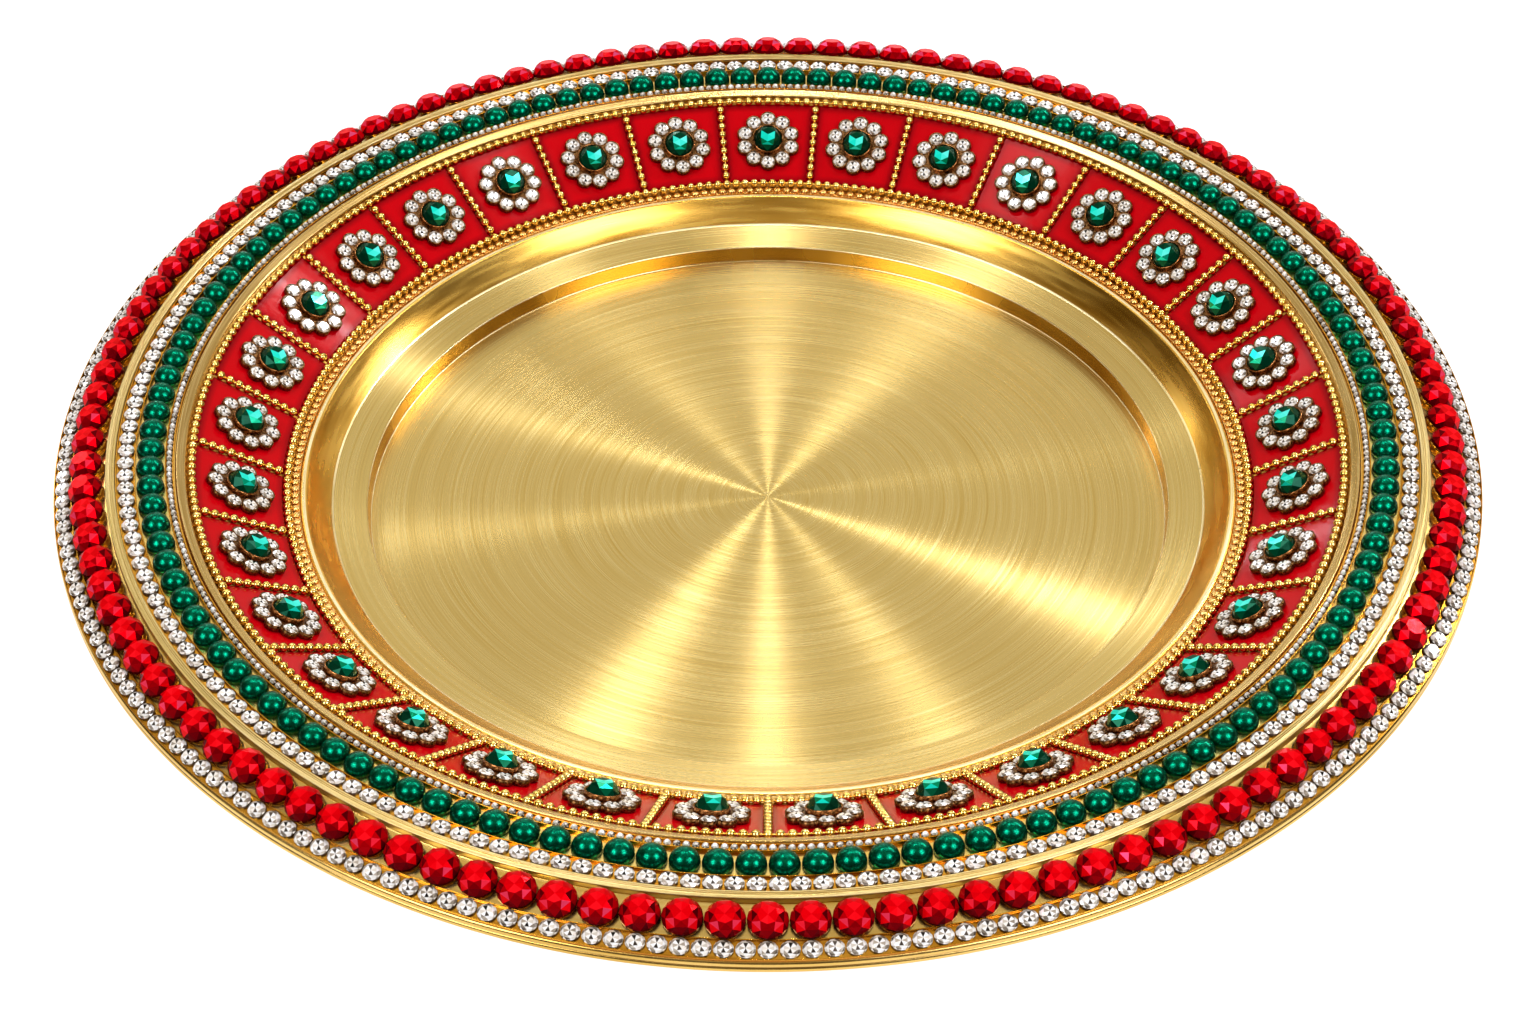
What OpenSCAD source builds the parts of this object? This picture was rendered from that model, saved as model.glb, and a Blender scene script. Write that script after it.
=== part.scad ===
/* [Plate] */
// Outside diameter over the rolled edge
plate_d = 305; // [280:1:340]
// Thickness of the spun sheet
sheet_t = 1; // [0.7:0.1:1.4]
// Diameter of the rolled edge
roll_d = 1.7; // [1.4:0.1:2.4]
// Size of the second bead, under the rolled edge, as a share of the rolled edge
edge_bead_share = 0.88; // [0.7:0.02:0.96]
// Slope of the rim under the outer crystals and the rubies, in degrees
rim_slope = 19.5; // [10:0.5:24]
// Plain edge outside the outer crystals
edge_w = 0.6; // [0.6:0.05:1.5]
// Rounding of the sheet's corners, measured along each side
corner_reach = 0.5; // [0.2:0.1:0.8]

/* [Well] */
// Height of the lower wall, from the floor to the ledge
step_h = 3.8; // [2.5:0.1:6]
// Width over which the lower wall leans outwards
step_lean = 0.3; // [0.1:0.1:1]
// Width of the ledge
ledge_w = 7.5; // [4:0.1:12]
// Fall of the ledge towards the floor
ledge_fall = 1.2; // [0:0.1:2]
// Height of the upper wall, from the ledge to the lip
wall_h = 4.2; // [2.5:0.1:7]
// Width over which the upper wall leans outwards
wall_lean = 5; // [1.5:0.1:6]
// Width of the polished lip round the well
lip_w = 1.7; // [1:0.1:3]
// Height of the lip's bead above the shelf
lip_h = 0.35; // [0.2:0.05:0.8]

/* [Crystals] */
// Diameter of the crystals in the two wide rows
crystal_d = 3.5; // [3:0.1:3.9]
// Height of those crystals
crystal_h = 1.3; // [1.1:0.1:2]
// Height of the straight girdle of those crystals
crystal_girdle = 0.5; // [0.4:0.1:0.9]
// Least gap between crystals in the middle row
crystal_gap = 0.6; // [0.3:0.1:1]
// Diameter of the small crystals in the fine chain
chip_d = 1.2; // [1.1:0.1:1.8]
// Height of the small crystals
chip_h = 1; // [0.8:0.1:1.4]
// Height of the straight girdle of the small crystals
chip_girdle = 0.4; // [0.3:0.1:0.6]
// Least gap between the small crystals
chip_gap = 0.6; // [0.3:0.1:1]

/* [Crystal trays] */
// Thickness of a tray's walls
tray_wall = 0.25; // [0.2:0.05:0.5]
// Thickness of a tray's floor
tray_floor = 0.3; // [0.2:0.05:0.6]
// Height of a tray over all
tray_h = 0.8; // [0.7:0.05:0.9]
// Clearance between a crystal and its tray's walls
tray_clear = 0.1; // [0.05:0.05:0.2]

/* [Rubies] */
// Diameter of the large red stones
ruby_d = 7.6; // [6.6:0.1:8.2]
// Height of the large red stones
ruby_h = 3; // [2.4:0.1:3.6]
// Height of their girdle
ruby_girdle = 0.7; // [0.5:0.1:1]
// Least gap between two red stones
ruby_gap = 0.2; // [0.2:0.05:0.6]
// Diameter of the cup under a red stone
ruby_cup_d = 6.8; // [5.8:0.1:7]
// Height of the cup under a red stone
ruby_cup_h = 1.05; // [1.05:0.05:1.6]

/* [Pearls] */
// Diameter of the green half pearls
pearl_d = 6; // [5:0.1:7]
// Height of a pearl's widest line above its flat back
pearl_lift = 0.3; // [0.1:0.1:0.8]
// Least gap between two pearls
pearl_gap = 0.2; // [0.15:0.05:0.6]

/* [Bands] */
// Width of the outer gold band
outer_band_w = 1.95; // [1.5:0.05:4]
// Height of the outer gold band
outer_band_h = 1.3; // [0.9:0.1:2]
// Width and depth of each fine groove in the outer band
groove_w = 0.2; // [0.1:0.05:0.3]
// Width of the inner gold band along its slope
inner_band_w = 2.2; // [1.6:0.1:4]
// Thickness of the inner gold band
inner_band_t = 1; // [0.6:0.1:1.4]
// Slope of the inner gold band, in degrees
band_slope = 23; // [12:1:27]
// Gap between neighbouring rows
row_gap = 0.1; // [0.1:0.05:0.5]

/* [Panels] */
// Number of panels, medallions and radial ball chains
panel_count = 33; // [28:1:34]
// Radial distance between the two ring chains that border the panels
panel_w = 19.2; // [18.5:0.1:24]
// Slope of the panels, in degrees
panel_slope = 28.8; // [24:0.2:32]
// Thickness of the enamel
enamel_t = 0.5; // [0.3:0.05:0.7]
// Rounding of the enamel's edges
enamel_edge = 0.2; // [0.1:0.05:0.25]
// Clearance between the enamel and the balls beside it
enamel_clear = 0.1; // [0.05:0.05:0.3]

/* [Ball chains] */
// Diameter of a ball
ball_d = 2; // [1.8:0.1:2.5]
// Least gap between two balls
ball_gap = 0.12; // [0.1:0.02:0.3]
// Least gap between two balls of the ring chains, where the links show
ring_ball_gap = 0.2; // [0.15:0.05:0.8]
// Diameter of the links between the balls
wire_d = 0.6; // [0.4:0.1:1]
// Diameter of the beads of the fine trim inside the panels
trim_ball_d = 1.9; // [1.2:0.1:2.2]
// Thickness of the strip under those beads
trim_tape_t = 0.3; // [0.2:0.05:0.6]
// Least gap between two beads of the fine trim
trim_gap = 0.3; // [0.2:0.1:0.8]

/* [Medallions] */
// Diameter of the emerald in the middle
emerald_d = 6.6; // [5.4:0.1:6.8]
// Height of the emerald
emerald_h = 3.1; // [2.4:0.1:3.6]
// Height of the emerald's girdle
emerald_girdle = 0.8; // [0.5:0.1:1]
// Number of crystals round the emerald
petal_count = 10; // [8:1:10]
// Diameter of those crystals
petal_d = 3.1; // [2.5:0.1:3.2]
// Height of those crystals
petal_h = 1.4; // [1.1:0.1:1.8]
// Height of their girdle
petal_girdle = 0.6; // [0.4:0.1:0.8]
// Radius of the circle that those crystals lie on
petal_ring_r = 5.8; // [5.6:0.1:6]
// Rim of metal round each of those crystals
petal_rim = 0.35; // [0.25:0.05:0.4]
// Height of the medallion's setting
setting_h = 1.3; // [1:0.1:2]
// Depth of the pocket that holds each crystal
pocket_depth = 0.5; // [0.3:0.1:0.7]
// Wall of the bezel round the emerald
bezel_wall = 0.35; // [0.2:0.05:0.4]
// Height of the bezel round the emerald
bezel_h = 1.1; // [0.8:0.1:1.6]
// Clearance of a stone in its bezel or pocket
stone_clear = 0.05; // [0.03:0.01:0.08]

/* [Hidden] */

ring_fn = 180;
ball_fn = 48;
stone_fn = 40;
bend_steps = 4;
glue_gap = 0.02;
overrun = 1;

// Cut of the stones: facets round the crown, and shares of the radius and of the crown's height
crown_facets = 8;
table_share = 0.46;
break_radius_share = 0.78;
break_height_share = 0.62;
crystal_table_share = 0.5;

// Depth by which the second bead of the edge sinks into the rolled edge, as a share of their radii
bead_sink_share = 0.12;

// Radii of the rows, worked out from the rim inwards
plate_r = plate_d / 2;
roll_r = roll_d / 2;
edge_bead_r = roll_r * edge_bead_share;
crystal_r = crystal_d / 2;
ball_r = ball_d / 2;
tray_half = crystal_r + tray_clear + tray_wall;
chip_half = chip_d / 2 + tray_clear + tray_wall;
outer_crystal_ring_r = plate_r - edge_w - crystal_r;
ruby_ring_r = outer_crystal_ring_r - (crystal_r + ruby_d / 2) * cos(rim_slope);
crest_out_r = ruby_ring_r - ruby_d / 2 * cos(rim_slope) - row_gap;
band_out_r = crest_out_r - row_gap;
band_in_r = band_out_r - outer_band_w;
middle_crystal_ring_r = band_in_r - row_gap - tray_half;
pearl_ring_r = middle_crystal_ring_r - tray_half - row_gap - pearl_d / 2;
chip_ring_r = pearl_ring_r - pearl_d / 2 - row_gap - chip_half;
crest_in_r = chip_ring_r - chip_half - row_gap;
panel_top_r = crest_in_r - inner_band_w * cos(band_slope);
outer_ball_ring_r = panel_top_r - ball_r;
inner_ball_ring_r = outer_ball_ring_r - panel_w;
panel_mid_r = (outer_ball_ring_r + inner_ball_ring_r) / 2;
shelf_r = inner_ball_ring_r - ball_r;
trim_ring_r = shelf_r - row_gap - trim_ball_d / 2;
lip_out_r = trim_ring_r - trim_ball_d / 2 - row_gap;
lip_in_r = lip_out_r - lip_w;
ledge_out_r = lip_in_r - wall_lean;
ledge_in_r = ledge_out_r - ledge_w;
floor_r = ledge_in_r - step_lean;

// Heights of the sheet's upper side, worked out from the floor upwards
floor_z = sheet_t;
ledge_in_z = floor_z + step_h;
ledge_out_z = ledge_in_z + ledge_fall;
shelf_z = ledge_out_z + wall_h;
panel_top_z = shelf_z + (panel_top_r - shelf_r) * tan(panel_slope);
crest_z = panel_top_z + inner_band_w * sin(band_slope);
rim_end_r = plate_r - roll_r;

function rim_z(r) = crest_z - (r - crest_out_r) * tan(rim_slope);
function panel_z(r) = shelf_z + (r - shelf_r) * tan(panel_slope);

roll_z = rim_z(rim_end_r) - (roll_r + glue_gap) / cos(rim_slope);
edge_bead_z = roll_z - (roll_r + edge_bead_r) * (1 - bead_sink_share);

// Sheet: corners of its upper side from the rim to the middle, and the same line one sheet lower
sheet_corners = [
    [rim_end_r, rim_z(rim_end_r)],
    [crest_out_r, crest_z],
    [crest_in_r, crest_z],
    [panel_top_r, panel_top_z],
    [shelf_r, shelf_z],
    [lip_in_r, shelf_z],
    [ledge_out_r, ledge_out_z],
    [ledge_in_r, ledge_in_z],
    [floor_r, floor_z],
    [0, floor_z],
];

function unit(v) = v / norm(v);
function below(a, b) = let (d = unit(b - a)) [-d[1], d[0]];
function lowered_corner(line, i, t) =
    let (last = len(line) - 1,
         n = below(line[max(i - 1, 0)], line[max(i, 1)]),
         m = below(line[min(i, last - 1)], line[min(i + 1, last)]))
    line[i] + t * (n + m) / (1 + n * m);
function lowered(line, t) = [for (i = [0 : len(line) - 1]) lowered_corner(line, i, t)];
function bend(a, b, c, reach) =
    let (p = b + unit(a - b) * reach, q = b + unit(c - b) * reach)
    [for (t = [0 : 1 / bend_steps : 1]) (1 - t) * (1 - t) * p + 2 * t * (1 - t) * b + t * t * q];
function softened(line, reach) = [
    line[0],
    for (i = [1 : len(line) - 2]) each bend(line[i - 1], line[i], line[i + 1], reach),
    line[len(line) - 1],
];
function reversed(line) = [for (i = [len(line) - 1 : -1 : 0]) line[i]];

module plate_body() {
    color("#d8b45a")
    union() {
        rotate_extrude($fn = ring_fn)
            polygon(concat(
                softened(sheet_corners, corner_reach),
                reversed(softened(lowered(sheet_corners, sheet_t), corner_reach))));
        // Rolled edge, hung just under the sheet's upper side, and the smaller bead below it
        rotate_extrude($fn = ring_fn)
            translate([rim_end_r, roll_z])
                circle(r = roll_r, $fn = ball_fn);
        rotate_extrude($fn = ring_fn)
            translate([rim_end_r, edge_bead_z])
                circle(r = edge_bead_r, $fn = ball_fn);
        lip_bead();
    }
}

// Rounded bead on the shelf's inner edge
module lip_bead() {
    middle_r = lip_out_r - lip_w / 2;
    rotate_extrude($fn = ring_fn)
        polygon([
            for (a = [0 : 180 / (2 * bend_steps) : 180])
                [middle_r + lip_w / 2 * cos(a), shelf_z + lip_h * sin(a)],
            [lip_in_r, shelf_z - sheet_t / 2],
            [lip_out_r, shelf_z - sheet_t / 2],
        ]);
}

// A section placed on a sloping seat: x runs outwards along the slope, y away from the sheet
module seated_ring(r, z, slope) {
    rotate_extrude($fn = ring_fn)
        translate([r, z])
            rotate(-slope)
                translate([0, glue_gap])
                    children();
}

// Copies round the plate, standing square on a seat that slopes down outwards
module around(count, r, z, slope, first = 0) {
    for (i = [0 : count - 1])
        rotate([0, 0, first + i * 360 / count])
            translate([r, 0, z])
                rotate([0, slope, 0])
                    children();
}

// Channel with two low walls, open at the top
module tray_section(half) {
    difference() {
        translate([-half, 0])
            square([2 * half, tray_h]);
        translate([tray_wall - half, tray_floor])
            square([2 * (half - tray_wall), tray_h]);
    }
}

// Round stone with a conical crown and a flat table
module small_stone(d, h, girdle) {
    cylinder(d = d, h = girdle, $fn = stone_fn);
    translate([0, 0, girdle])
        cylinder(d1 = d, d2 = d * crystal_table_share, h = h - girdle, $fn = stone_fn);
}

// Roof whose two sides follow the line from a low point to a higher one, for two opposite facets
module roof(low, high, size) {
    rise = (high[1] - low[1]) / (low[0] - high[0]);
    foot = low[0] + (low[1] + size) / rise;
    rotate([90, 0, 0])
        translate([0, 0, -size])
            linear_extrude(height = 2 * size)
                polygon([[-foot, -size], [foot, -size], [0, low[1] + low[0] * rise]]);
}

// Round stone cut with two tiers of crown facets and a flat table
module cut_stone(d, h, girdle) {
    r = d / 2;
    half_turn = 180 / crown_facets;
    break_at = [r * break_radius_share, girdle + (h - girdle) * break_height_share];
    intersection() {
        cylinder(d = d, h = h, $fn = stone_fn);
        intersection_for (k = [0 : crown_facets / 2 - 1])
            rotate([0, 0, 2 * k * half_turn])
                roof([r * cos(half_turn), girdle], break_at, d);
        intersection_for (k = [0 : crown_facets / 2 - 1])
            rotate([0, 0, (2 * k + 1) * half_turn])
                roof(break_at, [r * table_share, h], d);
    }
}

module outer_crystal_tray() {
    color("#c98a1e")
    seated_ring(outer_crystal_ring_r, rim_z(outer_crystal_ring_r), rim_slope)
        tray_section(tray_half);
}

ruby_count = floor(360 / (2 * asin((ruby_d + ruby_gap) / (2 * ruby_ring_r))));
outer_crystal_count = 2 * ruby_count;

module outer_crystals() {
    color("#f2f4f6")
    around(outer_crystal_count, outer_crystal_ring_r, rim_z(outer_crystal_ring_r), rim_slope, 90)
        translate([0, 0, tray_floor + 2 * glue_gap])
            small_stone(crystal_d, crystal_h, crystal_girdle);
}

module ruby_cups() {
    color("#d9a93a")
    around(ruby_count, ruby_ring_r, rim_z(ruby_ring_r), rim_slope, 90)
        translate([0, 0, glue_gap])
            cylinder(d = ruby_cup_d, h = ruby_cup_h, $fn = stone_fn);
}

module ruby_stones() {
    color("#c4001a")
    around(ruby_count, ruby_ring_r, rim_z(ruby_ring_r), rim_slope, 90)
        translate([0, 0, ruby_cup_h + 2 * glue_gap])
            cut_stone(ruby_d, ruby_h, ruby_girdle);
}

module outer_gold_band() {
    chamfer = groove_w / 2;
    grooves_at = [2 * groove_w, 4 * groove_w];
    color("#d3ab50")
    seated_ring(band_in_r, crest_z, 0)
        difference() {
            polygon([
                [0, 0], [outer_band_w, 0],
                [outer_band_w, outer_band_h - chamfer], [outer_band_w - chamfer, outer_band_h],
                [chamfer, outer_band_h], [0, outer_band_h - chamfer],
            ]);
            for (x = grooves_at)
                translate([x, outer_band_h - groove_w])
                    square([groove_w, 2 * groove_w]);
        }
}

module middle_crystal_tray() {
    color("#c98a1e")
    seated_ring(middle_crystal_ring_r, crest_z, 0)
        tray_section(tray_half);
}

module middle_crystals() {
    count = floor(2 * PI * middle_crystal_ring_r / (crystal_d + crystal_gap));
    color("#f2f4f6")
    around(count, middle_crystal_ring_r, crest_z, 0, 90)
        translate([0, 0, tray_floor + 2 * glue_gap])
            small_stone(crystal_d, crystal_h, crystal_girdle);
}

module green_pearls() {
    count = floor(360 / (2 * asin((pearl_d + pearl_gap) / (2 * pearl_ring_r))));
    color("#00643f")
    around(count, pearl_ring_r, crest_z, 0, 90)
        translate([0, 0, pearl_lift + glue_gap])
            difference() {
                sphere(d = pearl_d, $fn = ball_fn);
                translate([-pearl_d, -pearl_d, -pearl_d - pearl_lift])
                    cube([2 * pearl_d, 2 * pearl_d, pearl_d]);
            }
}

module fine_crystal_tray() {
    color("#c98a1e")
    seated_ring(chip_ring_r, crest_z, 0)
        tray_section(chip_half);
}

module fine_crystals() {
    count = floor(2 * PI * chip_ring_r / (chip_d + chip_gap));
    color("#f2f4f6")
    around(count, chip_ring_r, crest_z, 0, 90)
        translate([0, 0, tray_floor + 2 * glue_gap])
            small_stone(chip_d, chip_h, chip_girdle);
}

module inner_gold_band() {
    chamfer = inner_band_t / bend_steps;
    color("#cfa445")
    seated_ring(panel_top_r, panel_top_z, -band_slope)
        polygon([
            [row_gap, 0], [inner_band_w, 0],
            [inner_band_w, inner_band_t - chamfer], [inner_band_w - chamfer, inner_band_t],
            [row_gap + chamfer, inner_band_t], [row_gap, inner_band_t - chamfer],
        ]);
}

// Ring chain on the sloping sheet: a ball at the head of each radial chain, a link between balls
module ball_ring(r) {
    balls = panel_count * floor(2 * PI * r / panel_count / (ball_d + ring_ball_gap));
    lift = ball_r + glue_gap;
    centre_r = r - lift * sin(panel_slope);
    link = 2 * centre_r * sin(180 / balls) - ball_d - 2 * glue_gap;
    for (i = [0 : balls - 1])
        rotate([0, 0, 90 + 180 / panel_count + i * 360 / balls])
            translate([0, 0, panel_z(r) + lift * cos(panel_slope)]) {
                translate([centre_r, 0, 0])
                    sphere(d = ball_d, $fn = ball_fn);
                rotate([0, 0, 180 / balls])
                    translate([centre_r * cos(180 / balls), link / 2, 0])
                        rotate([90, 0, 0])
                            cylinder(d = wire_d, h = link, $fn = stone_fn);
            }
}

module outer_ball_chain() {
    color("#e3b84e")
    ball_ring(outer_ball_ring_r);
}

module inner_ball_chain() {
    color("#e3b84e")
    ball_ring(inner_ball_ring_r);
}

// Thin strip with a row of small beads on it, between the inner ball chain and the lip
module beaded_trim() {
    beads = floor(2 * PI * trim_ring_r / (trim_ball_d + trim_gap));
    color("#d8922a")
    seated_ring(trim_ring_r, shelf_z, 0)
        translate([-trim_ball_d / 2, 0])
            square([trim_ball_d, trim_tape_t]);
    color("#d8922a")
    around(beads, trim_ring_r, shelf_z, 0, 90)
        translate([0, 0, trim_tape_t + trim_ball_d / 2 + 2 * glue_gap])
            sphere(d = trim_ball_d, $fn = ball_fn);
}

module red_enamel_panels() {
    slant = panel_w / cos(panel_slope);
    edge = ball_r + enamel_clear;
    slot = ball_d + 2 * enamel_clear;
    color("#b8000f")
    difference() {
        seated_ring(inner_ball_ring_r, panel_z(inner_ball_ring_r), -panel_slope)
            polygon([
                [edge, 0], [slant - edge, 0],
                [slant - edge, enamel_t - enamel_edge], [slant - edge - enamel_edge, enamel_t],
                [edge + enamel_edge, enamel_t], [edge, enamel_t - enamel_edge],
            ]);
        for (i = [0 : panel_count - 1])
            rotate([0, 0, 90 + (i + 0.5) * 360 / panel_count])
                translate([inner_ball_ring_r - ball_d, -slot / 2, 0])
                    cube([panel_w + 2 * ball_d, slot, crest_z + overrun]);
    }
}

module radial_ball_chains() {
    slant = panel_w / cos(panel_slope);
    pitches = floor(slant / (ball_d + ball_gap));
    pitch = slant / pitches;
    color("#e3b84e")
    around(panel_count, inner_ball_ring_r, panel_z(inner_ball_ring_r), -panel_slope,
           90 + 180 / panel_count)
        translate([0, 0, ball_r + glue_gap]) {
            translate([pitch, 0, 0])
                rotate([0, 90, 0])
                    cylinder(d = wire_d, h = (pitches - 2) * pitch, $fn = stone_fn);
            for (k = [1 : pitches - 1])
                translate([k * pitch, 0, 0])
                    sphere(d = ball_d, $fn = ball_fn);
        }
}

// Medallions: each stands square on the middle of its panel, clear of the panel's hollow
petal_lobe_r = petal_d / 2 + petal_rim;
medallion_r = petal_ring_r + petal_lobe_r;
panel_sag = medallion_r * medallion_r * sin(panel_slope) / (2 * panel_mid_r);
medallion_lift = enamel_t + panel_sag + 2 * glue_gap;
petal_floor_z = setting_h - pocket_depth;

module on_medallions() {
    around(panel_count, panel_mid_r, panel_z(panel_mid_r), -panel_slope, 90)
        translate([0, 0, medallion_lift])
            children();
}

module at_petals() {
    for (k = [0 : petal_count - 1])
        rotate([0, 0, k * 360 / petal_count])
            translate([petal_ring_r, 0, 0])
                children();
}

module medallion_settings() {
    color("#5c3a1c")
    on_medallions()
        difference() {
            union() {
                cylinder(r = petal_ring_r, h = setting_h, $fn = stone_fn);
                at_petals()
                    cylinder(r = petal_lobe_r, h = setting_h, $fn = stone_fn);
            }
            at_petals()
                translate([0, 0, petal_floor_z])
                    cylinder(d = petal_d + 2 * stone_clear, h = pocket_depth + overrun, $fn = stone_fn);
        }
}

module medallion_bezels() {
    color("#c08a35")
    on_medallions()
        translate([0, 0, setting_h + glue_gap])
            difference() {
                cylinder(d = emerald_d + 2 * (stone_clear + bezel_wall), h = bezel_h, $fn = stone_fn);
                translate([0, 0, -overrun])
                    cylinder(d = emerald_d + 2 * stone_clear, h = bezel_h + 2 * overrun, $fn = stone_fn);
            }
}

module medallion_emeralds() {
    color("#00704a")
    on_medallions()
        translate([0, 0, setting_h + glue_gap])
            cut_stone(emerald_d, emerald_h, emerald_girdle);
}

module medallion_crystals() {
    color("#f2f4f6")
    on_medallions()
        at_petals()
            translate([0, 0, petal_floor_z + glue_gap])
                small_stone(petal_d, petal_h, petal_girdle);
}

plate_body();
outer_crystal_tray();
outer_crystals();
ruby_cups();
ruby_stones();
outer_gold_band();
middle_crystal_tray();
middle_crystals();
green_pearls();
fine_crystal_tray();
fine_crystals();
inner_gold_band();
outer_ball_chain();
red_enamel_panels();
radial_ball_chains();
medallion_settings();
medallion_bezels();
medallion_emeralds();
medallion_crystals();
inner_ball_chain();
beaded_trim();
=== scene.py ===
import bpy
import numpy as np
from mathutils import Matrix, Vector


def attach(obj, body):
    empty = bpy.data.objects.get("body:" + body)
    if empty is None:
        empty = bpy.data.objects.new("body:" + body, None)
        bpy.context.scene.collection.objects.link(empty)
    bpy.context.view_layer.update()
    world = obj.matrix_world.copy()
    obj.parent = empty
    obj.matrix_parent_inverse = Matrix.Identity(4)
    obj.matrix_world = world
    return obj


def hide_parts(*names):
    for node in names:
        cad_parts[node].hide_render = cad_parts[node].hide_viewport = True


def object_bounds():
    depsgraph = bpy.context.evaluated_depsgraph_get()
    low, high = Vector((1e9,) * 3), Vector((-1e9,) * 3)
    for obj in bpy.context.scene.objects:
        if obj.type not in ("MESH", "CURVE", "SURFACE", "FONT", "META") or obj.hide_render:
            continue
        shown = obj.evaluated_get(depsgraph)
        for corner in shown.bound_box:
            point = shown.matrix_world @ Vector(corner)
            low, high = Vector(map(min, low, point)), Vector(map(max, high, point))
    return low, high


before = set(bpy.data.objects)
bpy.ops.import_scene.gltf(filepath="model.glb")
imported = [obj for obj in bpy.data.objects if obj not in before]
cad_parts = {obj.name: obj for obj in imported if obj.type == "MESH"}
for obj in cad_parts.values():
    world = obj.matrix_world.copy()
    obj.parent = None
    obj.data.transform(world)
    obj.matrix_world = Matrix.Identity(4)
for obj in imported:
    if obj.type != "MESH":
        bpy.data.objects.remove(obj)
solidLow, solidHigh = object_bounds()
mm = 0.001
fullTurn = 2 * np.pi
quarterTurn = np.pi / 2
tiny = 1e-9  # what is smaller counts as nought
noiseLow, noiseHigh = 0.3, 0.7  # a noise texture seldom goes past these
dice = np.random.default_rng(33)

# Sizes of the sheet and of the rows that it carries
rows = {
    "edge": 0.6, "gap": 0.1, "rollRadius": 0.85, "sheet": 1.0, "enamel": 0.5,
    "crystal": 3.5, "chip": 1.2, "trayWall": 0.25, "trayClear": 0.1,
    "ruby": 7.6, "rubyGap": 0.2, "pearl": 6.0, "ball": 2.0, "bead": 1.9,
    "outerBand": 1.95, "innerBand": 2.2, "panelWidth": 19.2, "panels": 33,
    "rimSlope": np.radians(19.5), "bandSlope": np.radians(23), "panelSlope": np.radians(28.8),
    "lip": 1.7, "wallLean": 5.0, "wallHeight": 4.2, "ledge": 7.5, "ledgeFall": 1.2,
    "stepLean": 0.3, "stepHeight": 3.8, "seat": 0.02,
}

# Radii of the rows, from the edge inwards
plateRadius = solidHigh.x / mm
trayHalf = rows["crystal"] / 2 + rows["trayClear"] + rows["trayWall"]
chipHalf = rows["chip"] / 2 + rows["trayClear"] + rows["trayWall"]
outerCrystalRadius = plateRadius - rows["edge"] - rows["crystal"] / 2
rubyRadius = outerCrystalRadius - (rows["crystal"] + rows["ruby"]) / 2 * np.cos(rows["rimSlope"])
crestOut = rubyRadius - rows["ruby"] / 2 * np.cos(rows["rimSlope"]) - rows["gap"]
bandOut = crestOut - rows["gap"]
bandIn = bandOut - rows["outerBand"]
middleCrystalRadius = bandIn - rows["gap"] - trayHalf
pearlRadius = middleCrystalRadius - trayHalf - rows["gap"] - rows["pearl"] / 2
chipRadius = pearlRadius - rows["pearl"] / 2 - rows["gap"] - chipHalf
crestIn = chipRadius - chipHalf - rows["gap"]
panelTop = crestIn - rows["innerBand"] * np.cos(rows["bandSlope"])
outerChainRadius = panelTop - rows["ball"] / 2
innerChainRadius = outerChainRadius - rows["panelWidth"]
panelMiddle = (outerChainRadius + innerChainRadius) / 2
shelfOut = innerChainRadius - rows["ball"] / 2
trimRadius = shelfOut - rows["gap"] - rows["bead"] / 2
lipOut = trimRadius - rows["bead"] / 2 - rows["gap"]
lipIn = lipOut - rows["lip"]
ledgeOut = lipIn - rows["wallLean"]
ledgeIn = ledgeOut - rows["ledge"]
floorRadius = ledgeIn - rows["stepLean"]

# Heights of the sheet's upper side, from the floor up
floorHeight = rows["sheet"]
ledgeInHeight = floorHeight + rows["stepHeight"]
ledgeOutHeight = ledgeInHeight + rows["ledgeFall"]
shelfHeight = ledgeOutHeight + rows["wallHeight"]
panelTopHeight = shelfHeight + (panelTop - shelfOut) * np.tan(rows["panelSlope"])
crestHeight = panelTopHeight + rows["innerBand"] * np.sin(rows["bandSlope"])


# The rim falls outwards from the crest
def rimHeight(radius):
    return crestHeight - (radius - crestOut) * np.tan(rows["rimSlope"])


# The sheet under the panels climbs outwards from the shelf
def panelHeight(radius):
    return shelfHeight + (radius - shelfOut) * np.tan(rows["panelSlope"])


# A shape is its points and its faces, the faces in one array for each number of corners. Here neighbours
# on a grid of points become quads, and triangles where a whole row is one point.
def surface(points, wrapRows=False):
    count = points.shape[0] * points.shape[1]
    ids = np.arange(count).reshape(points.shape[:2])
    pole = np.ptp(points, axis=1).max(axis=1) < tiny
    ids[pole] = ids[pole][:, :1]
    a, d = (ids, np.roll(ids, -1, axis=0)) if wrapRows else (ids[:-1], ids[1:])
    b, c = np.roll(a, -1, axis=1), np.roll(d, -1, axis=1)
    quads = np.stack([a, b, c, d], axis=-1).reshape(-1, 4)
    low, high = quads[:, 0] == quads[:, 1], quads[:, 2] == quads[:, 3]
    groups = [quads[~low & ~high], quads[low][:, [0, 2, 3]], quads[high][:, [0, 1, 2]]]
    used = np.unique(ids)
    place = np.zeros(count, int)
    place[used] = np.arange(len(used))
    return outward(points.reshape(-1, 3)[used], [place[g] for g in groups if len(g)])


# The volume under all faces is the sum of point . (edge x edge) / 6, and its sign says how they look
def outward(points, groups):
    volume = 0
    for g in groups:
        for k in range(1, g.shape[1] - 1):
            a, b, c = points[g[:, 0]], points[g[:, k]], points[g[:, k + 1]]
            volume += np.einsum("ij,ij->", a, np.cross(b, c))
    return points, [g if volume > 0 else g[:, ::-1] for g in groups]


# Point i, j is the profile's point i turned through j steps of the full circle
def lathe(profile, segments=360, wrapRows=True):
    turn = np.arange(segments) * fullTurn / segments
    radius, height = np.asarray(profile, float).T[:, :, None]
    points = np.stack([radius * np.cos(turn), radius * np.sin(turn), height + 0 * turn], axis=-1)
    return surface(points, wrapRows)


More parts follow.
